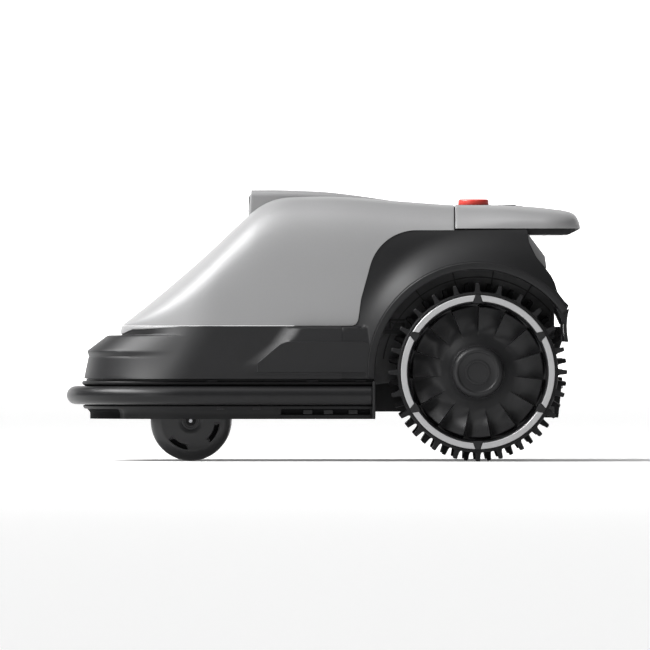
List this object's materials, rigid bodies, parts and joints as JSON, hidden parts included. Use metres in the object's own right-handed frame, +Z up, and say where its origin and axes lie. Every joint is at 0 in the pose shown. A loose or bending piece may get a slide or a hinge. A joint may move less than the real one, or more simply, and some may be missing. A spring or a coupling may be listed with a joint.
{
  "type": "robotic lawn mower",
  "caption": "Low robotic lawn mower with a silver hood, camera housing, round-tube bumper, large driven rear wheels, small front casters and a carry handle at the rear.",
  "frame": {"origin": "on the ground, under the middle of the machine's length and width", "axes": "+Z up; -Y towards the nose, +Y towards the rear handle; +X towards the machine's left side"},
  "size_m": [0.391, 0.603, 0.3186],
  "materials": {
    "silver": "satin silver paint",
    "shell": "satin charcoal moulding",
    "chassis": "matt black moulding",
    "soft_rubber": "matt black rubber",
    "tyre_rubber": "matt black tread",
    "wheel_plastic": "satin black moulding",
    "trim": "satin silver paint",
    "lens": "polished, near black",
    "red": "satin red",
    "key": "soft matt grey",
    "steel": "fine turned",
    "motor_metal": "cast and machined",
    "contact": "polished",
    "battery_wrap": "shrink sleeve",
    "board": "potted circuit board"
  },
  "bodies": {
    "chassis": {"chassis_tub": "chassis", "front_skirt": "shell", "top_cover": "silver", "rear_deck": "silver", "handle_base": "shell", "rear_panel": "silver", "camera_housing": "silver", "camera_window": "lens", "keypad_panel": "shell", "battery_pack": "battery_wrap", "control_board": "board", "height_bridge": "motor_metal", "height_motor": "motor_metal", "fender_left": "shell", "fender_right": "shell", "mud_flap_left": "soft_rubber", "mud_flap_right": "soft_rubber", "charge_contact_left": "contact", "charge_contact_right": "contact", "camera_lens_left": "lens", "camera_lens_right": "lens", "guide_rod_left": "steel", "guide_rod_right": "steel", "gearbox_left": "motor_metal", "gearbox_right": "motor_metal", "drive_motor_left": "motor_metal", "drive_motor_right": "motor_metal", "caster_bush_left": "key", "caster_bush_right": "key"},
    "bumper": {"bumper_frame": "shell", "bumper_tube": "soft_rubber"},
    "cutter_lift": {"cutter_carriage": "chassis", "cutter_motor": "motor_metal"},
    "cutter_spindle": {"cutter_shaft": "steel", "cutting_disc": "steel"},
    "knife_1": {"blade_1": "steel"},
    "knife_2": {"blade_2": "steel"},
    "knife_3": {"blade_3": "steel"},
    "skid": {"skid_plate": "chassis"},
    "lift_screw": {"height_screw": "steel"},
    "stop_push": {"stop_button": "red"},
    "home_push": {"home_key": "key"},
    "start_push": {"start_key": "key"},
    "power_push": {"power_key": "key"},
    "drive_wheel_left": {"tyre_left": "tyre_rubber", "rim_left": "wheel_plastic", "trim_ring_left": "trim", "hub_cap_left": "wheel_plastic", "drive_shaft_left": "steel"},
    "caster_swivel_left": {"caster_arm_left": "chassis", "caster_axle_left": "steel"},
    "caster_roller_left": {"caster_wheel_left": "wheel_plastic"},
    "drive_wheel_right": {"tyre_right": "tyre_rubber", "rim_right": "wheel_plastic", "trim_ring_right": "trim", "hub_cap_right": "wheel_plastic", "drive_shaft_right": "steel"},
    "caster_swivel_right": {"caster_arm_right": "chassis", "caster_axle_right": "steel"},
    "caster_roller_right": {"caster_wheel_right": "wheel_plastic"}
  },
  "joints": [
    {"name": "bumper_slide", "type": "slide", "parent": "chassis", "child": "bumper", "axis": [0, 1, 0], "range_m": [0, 0.008], "stiffness_N_per_m": 2000, "springref_m": -0.004},
    {"name": "drive_left", "type": "hinge", "parent": "chassis", "child": "drive_wheel_left", "pos_m": [0.158, 0.1806, 0.1044], "axis": [1, 0, 0], "continuous": true},
    {"name": "swivel_left", "type": "hinge", "parent": "chassis", "child": "caster_swivel_left", "pos_m": [0.082, -0.1755, 0.11], "axis": [0, 0, 1], "continuous": true},
    {"name": "roll_left", "type": "hinge", "parent": "caster_swivel_left", "child": "caster_roller_left", "pos_m": [0.082, -0.1555, 0.0472], "axis": [1, 0, 0], "continuous": true},
    {"name": "drive_right", "type": "hinge", "parent": "chassis", "child": "drive_wheel_right", "pos_m": [-0.158, 0.1806, 0.1044], "axis": [1, 0, 0], "continuous": true},
    {"name": "swivel_right", "type": "hinge", "parent": "chassis", "child": "caster_swivel_right", "pos_m": [-0.082, -0.1755, 0.11], "axis": [0, 0, 1], "continuous": true},
    {"name": "roll_right", "type": "hinge", "parent": "caster_swivel_right", "child": "caster_roller_right", "pos_m": [-0.082, -0.1555, 0.0472], "axis": [1, 0, 0], "continuous": true},
    {"name": "cutting_height", "type": "slide", "parent": "chassis", "child": "cutter_lift", "axis": [0, 0, 1], "range_m": [-0.05, 0]},
    {"name": "height_screw_turn", "type": "hinge", "parent": "chassis", "child": "lift_screw", "pos_m": [0, 0.068, 0.16], "axis": [0, 0, 1], "range_deg": [-1130, 5]},
    {"name": "spindle", "type": "hinge", "parent": "cutter_lift", "child": "cutter_spindle", "pos_m": [0, 0.008, 0.08], "axis": [0, 0, 1], "continuous": true},
    {"name": "knife_1_swing", "type": "hinge", "parent": "cutter_spindle", "child": "knife_1", "pos_m": [0, 0.078, 0.0756], "axis": [0, 0, 1], "continuous": true},
    {"name": "knife_2_swing", "type": "hinge", "parent": "cutter_spindle", "child": "knife_2", "pos_m": [-0.06062, -0.027, 0.0756], "axis": [0, 0, 1], "continuous": true},
    {"name": "knife_3_swing", "type": "hinge", "parent": "cutter_spindle", "child": "knife_3", "pos_m": [0.06062, -0.027, 0.0756], "axis": [0, 0, 1], "continuous": true},
    {"name": "skid_spin", "type": "hinge", "parent": "cutter_spindle", "child": "skid", "pos_m": [0, 0.008, 0.0645], "axis": [0, 0, 1], "continuous": true},
    {"name": "stop_press", "type": "slide", "parent": "chassis", "child": "stop_push", "axis": [0, 0, -1], "range_m": [0, 0.004], "stiffness_N_per_m": 600, "springref_m": -0.002},
    {"name": "home_press", "type": "slide", "parent": "chassis", "child": "home_push", "axis": [0, 0, -1], "range_m": [0, 0.0015], "stiffness_N_per_m": 400, "springref_m": -0.001},
    {"name": "start_press", "type": "slide", "parent": "chassis", "child": "start_push", "axis": [0, 0, -1], "range_m": [0, 0.0015], "stiffness_N_per_m": 400, "springref_m": -0.001},
    {"name": "power_press", "type": "slide", "parent": "chassis", "child": "power_push", "axis": [0, 0, -1], "range_m": [0, 0.0015], "stiffness_N_per_m": 400, "springref_m": -0.001}
  ],
  "couplings": [
    {"joint": "height_screw_turn", "follows": "cutting_height", "rad_per_m": 392.7}
  ]
}
